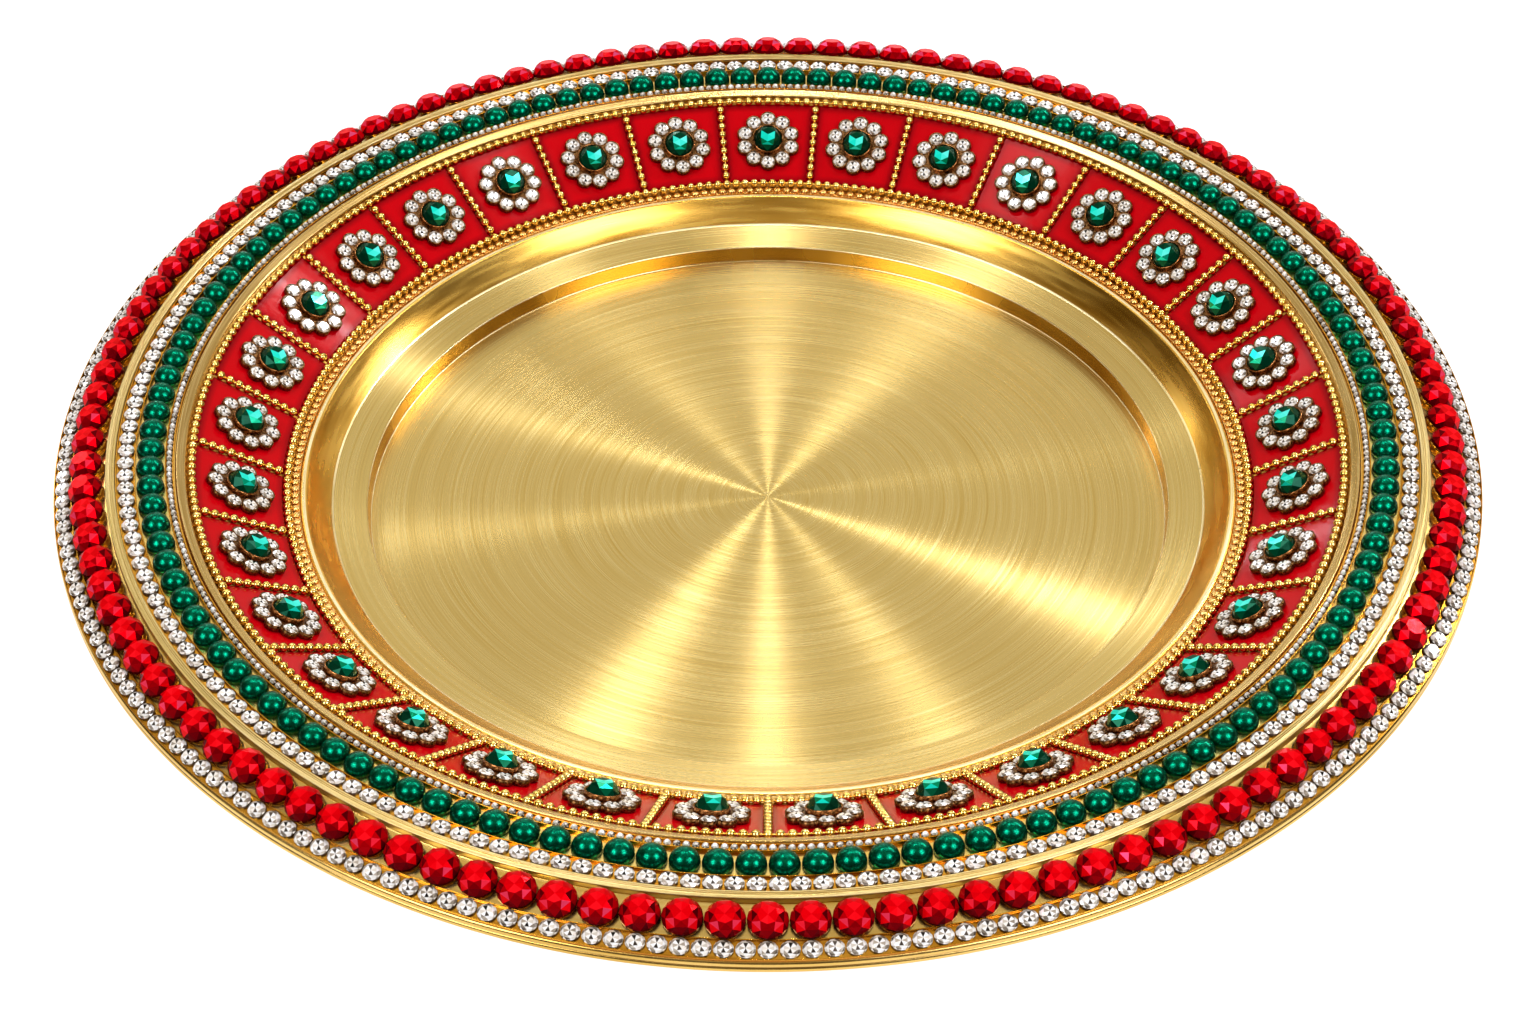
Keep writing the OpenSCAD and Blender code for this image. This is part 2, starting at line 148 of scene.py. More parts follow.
# Several shapes as one: each one's faces count its points from where the last shape's end
def joined(*shapes):
    points, groups, start = [], [], 0
    for p, gs in shapes:
        points.append(p)
        groups += [g + start for g in gs]
        start += len(p)
    return np.concatenate(points), groups


# Every seat carries every point of the shape: point = turn of the seat x point + place of the seat
def copied(shape, seats):
    points, groups = shape
    placed = points @ seats[:, :3, :3].transpose(0, 2, 1) + seats[:, None, :3, 3]
    shift = np.arange(len(seats))[:, None, None] * len(points)
    return placed.reshape(-1, 3), [(g[None] + shift).reshape(-1, g.shape[1]) for g in groups]


# One 4 x 4 matrix for each angle, with its cosine and sine in the two rows that the axis leaves
def turnedBy(angle, axis):
    angle = np.atleast_1d(np.asarray(angle, float))
    m = np.tile(np.eye(4), (len(angle), 1, 1))
    i, j = [(1, 2), (2, 0), (0, 1)]["xyz".index(axis)]
    m[:, i, i] = m[:, j, j] = np.cos(angle)
    m[:, i, j], m[:, j, i] = -np.sin(angle), np.sin(angle)
    return m


# One 4 x 4 matrix for each shift, with the shift in its last column
def movedBy(x=0, y=0, z=0):
    m = np.tile(np.eye(4), (np.size(x), 1, 1))
    m[:, 0, 3], m[:, 1, 3], m[:, 2, 3] = x, y, z
    return m


# Seats evenly round the plate, square on a slope that falls outwards, starting on +Y
def seatsRound(count, radius, height, slope, lift=0, first=quarterTurn):
    turns = turnedBy(first + np.arange(count) * fullTurn / count, "z")
    return turns @ movedBy(radius, 0, height) @ turnedBy(slope, "y") @ movedBy(0, 0, lift)


# How many widths fit round a circle: each is a chord, which takes the angle 2 arcsin(width / 2 radius)
def chordsRound(width, radius):
    return int(180 / np.degrees(np.arcsin(width / (2 * radius))))


# A corner becomes the curve (1 - t)^2 p + 2 t (1 - t) corner + t^2 q, with a point beyond each end that
# keeps the flats flat
def softened(line, reach, steps=5):
    line = np.asarray(line, float)
    t = np.linspace(0, 1, steps)[:, None]
    out = [line[:1]]
    for a, b, c in zip(line[:-2], line[1:-1], line[2:]):
        back, on = (a - b) / np.linalg.norm(a - b), (c - b) / np.linalg.norm(c - b)
        p, q = b + back * reach, b + on * reach
        curve = (1 - t) ** 2 * p + 2 * t * (1 - t) * b + t ** 2 * q
        out += [(p + back * reach / 2)[None], curve, (q + on * reach / 2)[None]]
    return np.concatenate(out + [line[-1:]])


# The same for a closed outline: it runs on to its second point, so that every corner is rounded
def softenedLoop(outline, reach, steps):
    return softened(outline + outline[:2], reach, steps)[1:-1]


# Section of a hoop: a box with rounded corners
def hoopSection(inner, outer, height, reach, steps):
    return softenedLoop([(inner, 0), (outer, 0), (outer, height), (inner, height)], reach, steps)


# Each point moves down by drop, measured square to the two lines that meet in it
def lowered(line, drop):
    line = np.asarray(line, float)
    along = np.diff(line, axis=0)
    along /= np.linalg.norm(along, axis=1)[:, None]
    normal = np.stack([along[:, 1], -along[:, 0]], axis=1)
    n, m = np.vstack([normal[:1], normal]), np.vstack([normal, normal[-1:]])
    return line + drop * (n + m) / (1 + (n * m).sum(axis=1))[:, None]


# A section drawn on a seat: x outwards along the slope, y away from the sheet
def onSlope(section, radius, height, slope):
    x, y = np.asarray(section, float).T
    y = y + rows["seat"]
    return np.stack([radius + x * np.cos(slope) + y * np.sin(slope),
                     height - x * np.sin(slope) + y * np.cos(slope)], axis=1)


# Ball: rings of latitude from pole to pole
def ball(diameter, columns=12, rings=6):
    angle = np.linspace(0, np.pi, rings + 1)
    profile = np.stack([np.abs(np.sin(angle)) * (np.sin(angle) > tiny), np.cos(angle)], axis=1)
    return lathe(profile * diameter / 2, columns, wrapRows=False)


# Round brilliant: from the table down come stars and mains, then lowers and pairs of girdle facets. The
# table and the break, the ring of points between the two tiers, are shares of the radius, and breakUp is
# how far up the crown the break stands. The groups are in the order of the tones that go with them.
def cutStone(diameter, height, girdle, table, breakAt, breakUp, fold=8):
    radius, half = diameter / 2, np.pi / fold
    even, odd = np.arange(fold) * 2 * half, np.arange(fold) * 2 * half + half
    fine = np.arange(2 * fold) * half

    def ring(angle, r, z):
        return np.stack([r * np.cos(angle), r * np.sin(angle), z + 0 * angle], axis=1)

    points = np.concatenate([
        ring(fine, radius, 0), ring(fine, radius, girdle),
        ring(even, radius * breakAt, girdle + (height - girdle) * breakUp),
        ring(odd, radius * table, height), [[0, 0, height]],
    ])
    k, f = np.arange(fold), np.arange(2 * fold)
    base, top, side, tip, middle = 0, 2 * fold, 4 * fold, 5 * fold, 6 * fold
    nextF, nextK, lastK = (f + 1) % (2 * fold), (k + 1) % fold, (k - 1) % fold
    band = np.stack([base + f, base + nextF, top + nextF, top + f], axis=1)
    mains = np.stack([tip + k, side + k, side + nextK], axis=1)
    lowers = np.stack([side + k, top + 2 * k + 1, side + nextK], axis=1)
    stars = np.stack([tip + lastK, side + k, tip + k], axis=1)
    right = np.stack([side + k, top + 2 * k, top + (2 * k + 1)], axis=1)
    left = np.stack([side + k, top + (2 * k - 1) % (2 * fold), top + 2 * k], axis=1)
    centre = np.stack([np.full(fold, middle), tip + lastK, tip + k], axis=1)
    under = (base + f)[::-1][None]
    return points, [mains, lowers, band, stars, right, left, centre, under]


# Stones are set the same way round, so that the painted light on their facets faces the front: each seat
# is turned back by its own angle round the plate, and by lean more towards the plate's sides. The stone
# is drawn a little longer along its row.
def facingFront(seats, turn, jitter, stretch, lean=0):
    own = np.arctan2(seats[:, 1, 0], seats[:, 0, 0])
    back = turn - own - lean * np.cos(own) + dice.uniform(-jitter, jitter, len(seats))
    return seats @ np.diag([1, stretch, 1, 1]) @ turnedBy(back, "z")


# Painted light of the foil on each facet: each kind of facet has a rule that gives its painted highlight
# and shade from the angle at which it stands round the stone, and chance adds a little to every stone and
# every facet
def paintedFacetLight(shape, count, paintedTones, turn, ofStone, ofFacet, lift=0):
    points, groups = shape
    own = dice.uniform(-ofStone, ofStone, (count, 1)) + np.reshape(lift, (-1, 1))
    out = []
    for g, rule in zip(groups, paintedTones.values()):
        middle = points[g].mean(axis=1)
        tone = rule(np.arctan2(middle[:, 1], middle[:, 0]) + turn) + np.zeros(len(g))
        out.append((tone + own + dice.uniform(-ofFacet, ofFacet, (count, len(g)))).ravel())
    return np.clip(np.concatenate(out), 0, 1)


# sRGB to linear light: c / 12.92 near black, and ((c + 0.055) / 1.055)^2.4 above that
def toLinear(hexColour):
    channels = np.array([int(hexColour[i:i + 2], 16) for i in (1, 3, 5)]) / 255
    linear = np.where(channels <= 0.04045, channels / 12.92, ((channels + 0.055) / 1.055) ** 2.4)
    return (*linear.tolist(), 1.0)


# Adds a node: settings are its own, sockets are values or outputs of other nodes, and stops are the
# places and colours of a colour ramp
def addNode(tree, kind, sockets=(), stops=(), **settings):
    node = tree.nodes.new("ShaderNode" + kind)
    for name, value in settings.items():
        setattr(node, name, value)
    for name, value in dict(sockets).items():
        if isinstance(value, bpy.types.NodeSocket):
            tree.links.new(value, node.inputs[name])
        else:
            node.inputs[name].default_value = value
    for i, (place, colour) in enumerate(stops):
        ramp = node.color_ramp.elements
        stop = ramp[i] if i < 2 else ramp.new(place)
        stop.position = place
        stop.color = toLinear(colour)
    return node


def newFinish(name):
    finish = bpy.data.materials.new(name)
    finish.use_nodes = True
    finish.node_tree.nodes.clear()
    return finish, finish.node_tree


# Adds a shape to the scene in place of a node. Tones holds one number for each face, a stone's painted
# light and shade, and finishOf says which of the finishes each face has.
def makePiece(name, shape, finishes, node, smooth=True, paintedTones=None, finishOf=None):
    points, groups = shape
    mesh = bpy.data.meshes.new(name)
    mesh.from_pydata((points * mm).tolist(), [], [f for g in groups for f in g.tolist()])
    mesh.polygons.foreach_set("use_smooth", np.full(len(mesh.polygons), smooth))
    for finish in finishes:
        mesh.materials.append(finish)
    if finishOf is not None:
        mesh.polygons.foreach_set("material_index", finishOf)
    if paintedTones is not None:
        mesh.attributes.new("tone", "FLOAT", "FACE").data.foreach_set("value", paintedTones)
    mesh.update()
    piece = bpy.data.objects.new(name, mesh)
    bpy.context.scene.collection.objects.link(piece)
    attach(piece, "root")
    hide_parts(node)
    print("made", name, len(mesh.polygons), "faces")
    return piece


# Noise in rings: it is read at direction x arc sideways and at distance from the axis / width upwards, so
# it changes from line to line and runs long round the plate
def turnedPattern(tree, widths, arcs):
    place = addNode(tree, "TexCoord").outputs["Object"]
    flat = addNode(tree, "VectorMath", {0: place, 1: (1, 1, 0)}, operation="MULTIPLY").outputs[0]
    radius = addNode(tree, "VectorMath", {0: flat}, operation="LENGTH").outputs["Value"]
    way = addNode(tree, "VectorMath", {0: flat}, operation="NORMALIZE").outputs[0]
    apart = addNode(tree, "SeparateXYZ", {0: way})
    lines = []
    for width, arc in zip(widths, arcs):
        count = addNode(tree, "Math", {0: radius, 1: 1 / (width * mm)}, operation="MULTIPLY")
        x, y = (addNode(tree, "Math", {0: apart.outputs[i], 1: arc}, operation="MULTIPLY")
                for i in (0, 1))
        line = addNode(tree, "CombineXYZ", {0: x.outputs[0], 1: y.outputs[0], 2: count.outputs[0]})
        noise = addNode(tree, "TexNoise", {"Vector": line.outputs[0], "Scale": 1.0, "Detail": 1.0})
        lines.append(noise.outputs[0])
    return lines


# Skin of a metal: tone picks its colour between dark and light, and line gives its gloss and its relief
def metalSkin(tree, tone, line, look, extra=()):
    colour = addNode(tree, "ValToRGB", {0: tone}, stops=[(0.5 - look["spread"], look["dark"]),
                                                         (0.5 + look["spread"], look["light"])])
    rough = addNode(tree, "MapRange", {0: line, 1: noiseLow, 2: noiseHigh,
                                       3: look["roughness"] - look["uneven"],
                                       4: look["roughness"] + look["uneven"]})
    relief = addNode(tree, "Bump", {"Height": line, "Strength": look["relief"],
                                    "Distance": look["depth"] * mm})
    skin = addNode(tree, "BsdfPrincipled", {
        "Base Color": colour.outputs[0], "Metallic": 1.0, "Roughness": rough.outputs[0],
        "Normal": relief.outputs[0], **dict(extra)})
    addNode(tree, "OutputMaterial", {"Surface": skin.outputs[0]})


# Brass brushed on the lathe: hair-fine rings scatter light outwards and inwards only, so each lamp draws
# a bright line through the middle. The rings are drawn coarser than real ones, so that they show.
def brushedBrass():
    look = {"dark": "#ccaa58", "light": "#e8ce86", "spread": 0.25, "lineWidth": 0.3, "bandWidth": 2.2,
            "bands": 0.12, "arcs": (1.6, 0.8), "roughness": 0.26, "uneven": 0.025, "relief": 0.03,
            "depth": 0.03, "brushing": 1.0, "acrossTheRings": 0.25}
    finish, tree = newFinish("brushedBrass")
    fine, wide = turnedPattern(tree, (look["lineWidth"], look["bandWidth"]), look["arcs"])
    tone = addNode(tree, "Mix", {0: look["bands"], 2: fine, 3: wide}).outputs[0]
    around = addNode(tree, "Tangent", direction_type="RADIAL", axis="Z").outputs[0]
    metalSkin(tree, tone, fine, look, {
        "Anisotropic": look["brushing"], "Anisotropic Rotation": look["acrossTheRings"],
        "Tangent": around})
    return finish


# Metal finished while it turned on the lathe: faint rings in its colour and gloss
def turnedMetal(name, dark, light, roughness, lineWidth, relief=0.05):
    look = {"dark": dark, "light": light, "spread": 0.15, "bands": 0.5, "wider": 5, "arcs": (6.0, 2.0),
            "roughness": roughness, "uneven": 0.2 * roughness, "relief": relief, "depth": 0.05}
    finish, tree = newFinish(name)
    fine, wide = turnedPattern(tree, (lineWidth, lineWidth * look["wider"]), look["arcs"])
    tone = addNode(tree, "Mix", {0: look["bands"], 2: fine, 3: wide}).outputs[0]
    metalSkin(tree, tone, fine, look)
    return finish


# Stamped and gilt metal: a bright skin with soft marks of the die
def giltMetal(name, dark, light, roughness, grain, relief=0.05):
    look = {"dark": dark, "light": light, "spread": 0.2, "roughness": roughness,
            "uneven": 0.25 * roughness, "relief": relief, "depth": 0.1}
    finish, tree = newFinish(name)
    place = addNode(tree, "TexCoord").outputs["Object"]
    marks = addNode(tree, "TexNoise", {"Vector": place, "Scale": 1 / (grain * mm), "Detail": 2.0})
    metalSkin(tree, marks.outputs[0], marks.outputs[0], look)
    return finish


# Pressed glass on foil: each facet's colour is its tone, the foil's painted light and shade, under a wet
# gloss
def foiledGlass(name, stops, metallic, roughness, coat, gloss=0.3, tint="#ffffff"):
    look = {"film": 0.6, "uneven": 0.4, "refraction": 1.54, "coatRoughness": 0.03}
    finish, tree = newFinish(name)
    tone = addNode(tree, "Attribute", attribute_name="tone")
    colour = addNode(tree, "ValToRGB", {0: tone.outputs["Fac"]}, stops=stops)
    place = addNode(tree, "TexCoord").outputs["Object"]
    film = addNode(tree, "TexNoise", {"Vector": place, "Scale": 1 / (look["film"] * mm), "Detail": 1.0})
    rough = addNode(tree, "MapRange", {0: film.outputs[0], 1: noiseLow, 2: noiseHigh,
                                       3: roughness * (1 - look["uneven"]),
                                       4: roughness * (1 + look["uneven"])})
    glass = addNode(tree, "BsdfPrincipled", {
        "Base Color": colour.outputs[0], "Metallic": metallic, "Roughness": rough.outputs[0],
        "IOR": look["refraction"], "Specular IOR Level": gloss, "Specular Tint": toLinear(tint),
        "Coat Weight": coat, "Coat Roughness": look["coatRoughness"]})
    addNode(tree, "OutputMaterial", {"Surface": glass.outputs[0]})
    return finish


# Green pearl lacquer on a pressed half bead: the flakes answer every lamp with a soft wide light
def pearlLacquer():
    look = {"dark": "#004c36", "light": "#007a58", "spread": 0.15, "flake": 0.3, "metallic": 0.95,
            "roughness": 0.26, "gloss": 0.2, "relief": 0.05, "depth": 0.1}
    finish, tree = newFinish("greenPearlLacquer")
    place = addNode(tree, "TexCoord").outputs["Object"]
    flakes = addNode(tree, "TexNoise", {"Vector": place, "Scale": 1 / (look["flake"] * mm),
                                        "Detail": 2.0})
    colour = addNode(tree, "ValToRGB", {0: flakes.outputs[0]},
                     stops=[(0.5 - look["spread"], look["dark"]), (0.5 + look["spread"], look["light"])])
    relief = addNode(tree, "Bump", {"Height": flakes.outputs[0], "Strength": look["relief"],
                                    "Distance": look["depth"] * mm})
    lacquer = addNode(tree, "BsdfPrincipled", {
        "Base Color": colour.outputs[0], "Metallic": look["metallic"], "Roughness": look["roughness"],
        "Normal": relief.outputs[0], "Specular IOR Level": look["gloss"]})
    addNode(tree, "OutputMaterial", {"Surface": lacquer.outputs[0]})
    return finish


# Hard red enamel, poured and fired: glassy, a little uneven, with painted shade of the chains darkening
# its borders
def redEnamel():
    look = {"chainShadow": "#88000a", "deep": "#bc000c", "ripple": 4.0, "relief": 0.12, "depth": 0.4,
            "roughness": 0.14, "refraction": 1.5, "gloss": 0.13, "tint": "#ff9080", "coat": 0.03,
            "coatRoughness": 0.05}
    finish, tree = newFinish("firedRedEnamel")
    place = addNode(tree, "TexCoord").outputs["Object"]
    pour = addNode(tree, "TexNoise", {"Vector": place, "Scale": 1 / (look["ripple"] * mm),
                                      "Detail": 2.0})
    depth = addNode(tree, "Attribute", attribute_name="depth")
    colour = addNode(tree, "ValToRGB", {0: depth.outputs["Fac"]},
                     stops=[(0.0, look["chainShadow"]), (1.0, look["deep"])])
    relief = addNode(tree, "Bump", {"Height": pour.outputs[0], "Strength": look["relief"],
                                    "Distance": look["depth"] * mm})
    glaze = addNode(tree, "BsdfPrincipled", {
        "Base Color": colour.outputs[0], "Roughness": look["roughness"], "IOR": look["refraction"],
        "Specular IOR Level": look["gloss"], "Specular Tint": toLinear(look["tint"]),
        "Normal": relief.outputs[0], "Coat Weight": look["coat"],
        "Coat Roughness": look["coatRoughness"]})
    addNode(tree, "OutputMaterial", {"Surface": glaze.outputs[0]})
    return finish


brushed = brushedBrass()

# Wall of the well, polished on the lathe: a soft mirror with faint rings
polished = turnedMetal("polishedBrass", "#dca43c", "#f2c460", roughness=0.25, lineWidth=1.2)

# Rim between the rows, gilt after turning: bright and nearly smooth
rimGilt = turnedMetal("rimGilt", "#ecc060", "#f8d886", roughness=0.22, lineWidth=0.8, relief=0.02)

# Rolled edge, the same gilding made a shade darker
rolledGilt = turnedMetal("rolledEdgeGilt", "#c8a04c", "#e6c070", roughness=0.24, lineWidth=0.8,
                         relief=0.02)

# Edges painted pale: painted highlights, thin lines of light along the rounded corners
highlightEdgeGilt = turnedMetal("paintedHighlightEdges", "#f6dc98", "#fff0c4", roughness=0.3, lineWidth=0.8)

# Sheet under the panels: dull, and darkened to brown as a painted shadow of the chains and panels above
# it
paintedShadowBrass = turnedMetal("brassWithPaintedShadow", "#a0702a", "#c08c3c", roughness=0.35, lineWidth=0.8)

# Outer hoop, satin from fine abrasive: pale, with hardly a mirror
bandBrass = turnedMetal("satinBandBrass", "#d0b46a", "#ecd69a", roughness=0.34, lineWidth=0.25)

# Inner hoop, a finer satin: warmer, with a soft sheen
innerBandBrass = turnedMetal("warmBandBrass", "#bc9850", "#d8b878", roughness=0.24, lineWidth=0.3,
                             relief=0.02)

# Channels of the crystals, thickly gilt: deep gold round the white stones
trayGilt = turnedMetal("brightTrayGilt", "#c07e18", "#eaae40", roughness=0.2, lineWidth=0.4)

# Cups of the red stones, stamped and gilt: smooth and bright
cupGilt = giltMetal("brightCupGilt", "#c8963c", "#e4b85c", roughness=0.2, grain=0.7, relief=0.02)

# Collets of the emeralds, bare copper: a thin red-brown ring
collet = giltMetal("copperCollet", "#7c4824", "#c88a50", roughness=0.2, grain=0.5)

# Balls and wires of the chains, tumbled to a polish: small hard glints
chainGilt = giltMetal("polishedChainGilt", "#eebc48", "#ffe492", roughness=0.14, grain=0.8, relief=0.02)

# Stamped trim, gilt but not polished: grainy and soft
trimGilt = giltMetal("grainedTrimGilt", "#e0a040", "#ffdc90", roughness=0.26, grain=0.4, relief=0.02)

# Settings, darkened bronze: brown in the hollows, worn bright in spots
bronze = giltMetal("wornBronze", "#38230f", "#8c6238", roughness=0.3, grain=0.5, relief=0.1)

# Red glass on foil: dark, deep and clear red facets side by side, painted light and shade, pale pink at
# painted highlights
rubyGlass = foiledGlass(
    "rubyGlass", [(0.0, "#1c0004"), (1.0, "#c84870"), (0.25, "#600006"), (0.45, "#b80008"),
                  (0.65, "#e0000a"), (0.82, "#f81420")],
    metallic=0.2, roughness=0.1, coat=0.0, gloss=0.05, tint="#ff3030")

# Green glass on foil: a nearly black crown round a bright sea-green table, in painted shade and painted
# highlights
emeraldGlass = foiledGlass(
    "emeraldGlass", [(0.0, "#00180e"), (1.0, "#66fff0"), (0.3, "#00442a"), (0.6, "#007e52"),
                     (0.85, "#12e4cc")],
    metallic=0.25, roughness=0.09, coat=0.04, gloss=0.15, tint="#80ffd0")

# Clear glass on silver foil: white facets beside grey and nearly black ones, painted highlights and shade
crystalGlass = foiledGlass(
    "clearCrystal", [(0.0, "#14100c"), (1.0, "#fffefc"), (0.3, "#5c5046"), (0.55, "#aca08e"),
                     (0.75, "#ece4d6")],
    metallic=0.2, roughness=0.06, coat=0.05)

pearlGreen = pearlLacquer()
enamel = redEnamel()
print("finishes ready")


# Rolled edge in section: a roll, a smaller bead sunk into its underside, and the tuck back below the rim.
# With D between their centres, the two circles meet (D^2 + R^2 - b^2) / 2D below the roll's centre.
def rolledEdge(rimEnd):
    look = {"start": np.radians(86), "end": np.radians(-200), "bead": 0.88, "sink": 0.12, "rollSteps": 9,
            "beadSteps": 18, "tuckSteps": 4}
    roll, bead = rows["rollRadius"], rows["rollRadius"] * look["bead"]
    rollHeight = rimHeight(rimEnd) - (roll + rows["seat"]) / np.cos(rows["rimSlope"])
    apart = (roll + bead) * (1 - look["sink"])
    meet = (apart ** 2 + roll ** 2 - bead ** 2) / (2 * apart)
    low, high = np.arcsin(meet / roll), np.arcsin((apart - meet) / bead)

    def arcOf(r, z, start, end, steps):
        sweep = np.linspace(start, end, steps)
        return np.stack([rimEnd + r * np.cos(sweep), z + r * np.sin(sweep)], axis=1)

    return np.concatenate([
        arcOf(roll, rollHeight, look["start"], -low, look["rollSteps"]),
        arcOf(bead, rollHeight - apart, high, -np.pi - high, look["beadSteps"]),
        arcOf(roll, rollHeight, low - np.pi, look["end"], look["tuckSteps"]),
    ])


# The spun sheet: one line from the middle of the floor over the rim's rolled edge and back below it. Each
# face has its finish by how far from the axis, and how near to a turn of the line, its middle lies.
def plateBody():
    look = {"corner": 0.32, "lipHeight": 0.35, "lipSteps": 9, "rimStop": 0.5, "creaseIn": 0.2,
            "crease": 0.16, "tuckIn": 1.2, "edgeLine": 0.24, "margin": 0.1, "skin": 0.2}
    rimEnd = plateRadius - rows["rollRadius"]
    wellLine = [(0, floorHeight), (floorRadius, floorHeight), (ledgeIn, ledgeInHeight),
                (ledgeOut, ledgeOutHeight), (lipIn, shelfHeight)]
    rimLine = [(lipOut, shelfHeight), (shelfOut, shelfHeight), (panelTop, panelTopHeight),
               (crestIn, crestHeight), (crestOut, crestHeight), (rimEnd, rimHeight(rimEnd))]
    well = softened(wellLine, look["corner"])
    rim = softened(rimLine, look["corner"])
    arc = np.linspace(np.pi, 0, look["lipSteps"])[1:-1]
    lipMiddle = (lipIn + lipOut) / 2
    lip = np.stack([lipMiddle + rows["lip"] / 2 * np.cos(arc),
                    shelfHeight + look["lipHeight"] * np.sin(arc)], axis=1)
    creaseRadius, rimStop = rimEnd - look["creaseIn"], rimEnd - look["rimStop"]
    crease = np.array([[creaseRadius, rimHeight(creaseRadius) - look["crease"]]])
    rim[-1] = (rimStop, rimHeight(rimStop))
    under = softened(lowered(wellLine + rimLine[1:], rows["sheet"]), look["corner"])[::-1]
    under[0] += (-look["tuckIn"], look["tuckIn"] * np.tan(rows["rimSlope"]))
    under[-1] = (0, 0)
    line = np.concatenate([well, lip, rim, crease, rolledEdge(rimEnd), under])
    shape = lathe(line, wrapRows=False)

    onWall, onRings, onRim, onHighlightEdges, onCone, onRoll = range(6)
    finishes = [polished, brushed, rimGilt, highlightEdgeGilt, paintedShadowBrass, rolledGilt]
    centres = np.concatenate([shape[0][g].mean(axis=1) for g in shape[1]])
    reach, height = np.hypot(centres[:, 0], centres[:, 1]), centres[:, 2]
    margin, skin = look["margin"], look["skin"]
    onFloor = (reach < floorRadius - margin) & (np.abs(height - floorHeight) < skin)
    ledgeLine = ledgeInHeight + (reach - ledgeIn) / rows["ledge"] * rows["ledgeFall"]
    onLedge = (reach > ledgeIn + margin) & (reach < ledgeOut - margin)
    onLedge &= np.abs(height - ledgeLine) < skin
    # Between the shelf and the panels' top, under the chains, the sheet gets the painted shadow finish
    kind = np.select([onFloor | onLedge, reach > rimEnd - margin, reach > panelTop, reach > shelfOut],
                     [onRings, onRoll, onRim, onCone], onWall)
    # Faces near the corners of the well and on top of the lip get the pale finish: painted highlight
    # lines
    for r, z in wellLine[1:4] + [(lipMiddle, shelfHeight + look["lipHeight"])]:
        kind[np.hypot(reach - r, height - z) < look["edgeLine"]] = onHighlightEdges
    makePiece("plateBody", shape, finishes, "plate_body", finishOf=kind)


plateBody()


# Channel with two low walls whose tops are rounded
def tray(name, half, radius, height, slope, node):
    look = {"height": 0.8, "floor": 0.3, "round": 0.06, "roundSteps": 3}
    wall, top = rows["trayWall"], look["height"]
    outline = [(-half, 0), (half, 0), (half, top), (half - wall, top), (half - wall, look["floor"]),
               (wall - half, look["floor"]), (wall - half, top), (-half, top)]
    section = softenedLoop(outline, look["round"], look["roundSteps"])
    makePiece(name, lathe(onSlope(section, radius, height, slope)), [trayGilt], node)


tray("outerTray", trayHalf, outerCrystalRadius, rimHeight(outerCrystalRadius), rows["rimSlope"],
     "outer_crystal_tray")
tray("middleTray", trayHalf, middleCrystalRadius, crestHeight, 0, "middle_crystal_tray")
tray("fineTray", chipHalf, chipRadius, crestHeight, 0, "fine_crystal_tray")

# Directions round a stone in degrees, as the front of the plate sees it
behind, inFront, frontLeft, frontRight = 90, -90, -135, -45


# How near an angle is to a direction, from one to nought: the cosine between them to the power sharp
def near(a, direction, sharp):
    return np.maximum(0, np.cos(a - np.radians(direction))) ** sharp


# Clear stones, painted light of the foil on the facets: light and grey by turns, painted shade at the
# back of the crown, and a table with painted shade at its back and at its front
crystalPaintedLight = {
    "mains": lambda a: 0.74 + 0.22 * np.sin(4 * a) - 0.3 * near(a, behind, 4),
    "lowers": lambda a: 0.58 + 0.2 * np.sin(4 * a),
    "girdle": lambda a: 0.22,
    "stars": lambda a: 0.76 + 0.24 * np.cos(4 * a) - 0.4 * near(a, behind, 8),
    "right": lambda a: 0.86 - 0.3 * near(a, behind, 2),
    "left": lambda a: 0.46,
    "table": lambda a: (0.96 - 0.85 * near(a, behind, 10) - 0.8 * near(a, inFront, 16)
                        - 0.35 * np.cos(a) ** 16),
    "underside": lambda a: 0.2,
}

# Red stones, painted light on the facets: a bright table, darker sides, and two pale painted highlights
# at the front
rubyPaintedLight = {
    "mains": lambda a: (0.4 + 0.1 * np.sin(a) - 0.2 * np.cos(a) ** 8 + 0.55 * near(a, frontRight, 12)
                        + 0.55 * near(a, frontLeft, 12)),
    "lowers": lambda a: (0.37 + 0.1 * np.sin(a) + 0.3 * near(a, frontRight, 12)
                         + 0.3 * near(a, frontLeft, 12)),
    "girdle": lambda a: 0.1,
    "stars": lambda a: 0.48 + 0.1 * np.sin(a),
    "right": lambda a: 0.36 + 0.1 * np.sin(a),
    "left": lambda a: 0.26 + 0.1 * np.sin(a),
    "table": lambda a: 0.66 - 0.1 * np.cos(2 * a),
    "underside": lambda a: 0.1,
}

# Emeralds, painted light on the facets: dark, with a bright table but for its back, and a painted
# highlight on a facet at the front
emeraldPaintedLight = {
    "mains": lambda a: 0.14 + 0.68 * near(a, inFront, 6),
    "lowers": lambda a: 0.1 + 0.2 * near(a, inFront, 4),
    "girdle": lambda a: 0.08,
    "stars": lambda a: 0.16 + 0.66 * near(a, inFront, 3),
    "right": lambda a: 0.1,
    "left": lambda a: 0.14,
    "table": lambda a: np.where(np.sin(a) < 0.3, 0.9, 0.18) + 0.05 * np.cos(a),
    "underside": lambda a: 0.1,
}


# A row of small clear stones on their tray or in their pockets
def smallStones(name, cut, seats, node, stretch, ofStone=0.06):
    look = {"jitter": 0.18, "ofFacet": 0.14}
    shape = cutStone(**cut)
    paintedTones = paintedFacetLight(shape, len(seats), crystalPaintedLight, 0, ofStone, look["ofFacet"])
    makePiece(name, copied(shape, facingFront(seats, 0, look["jitter"], stretch)), [crystalGlass], node,
              smooth=False, paintedTones=paintedTones)


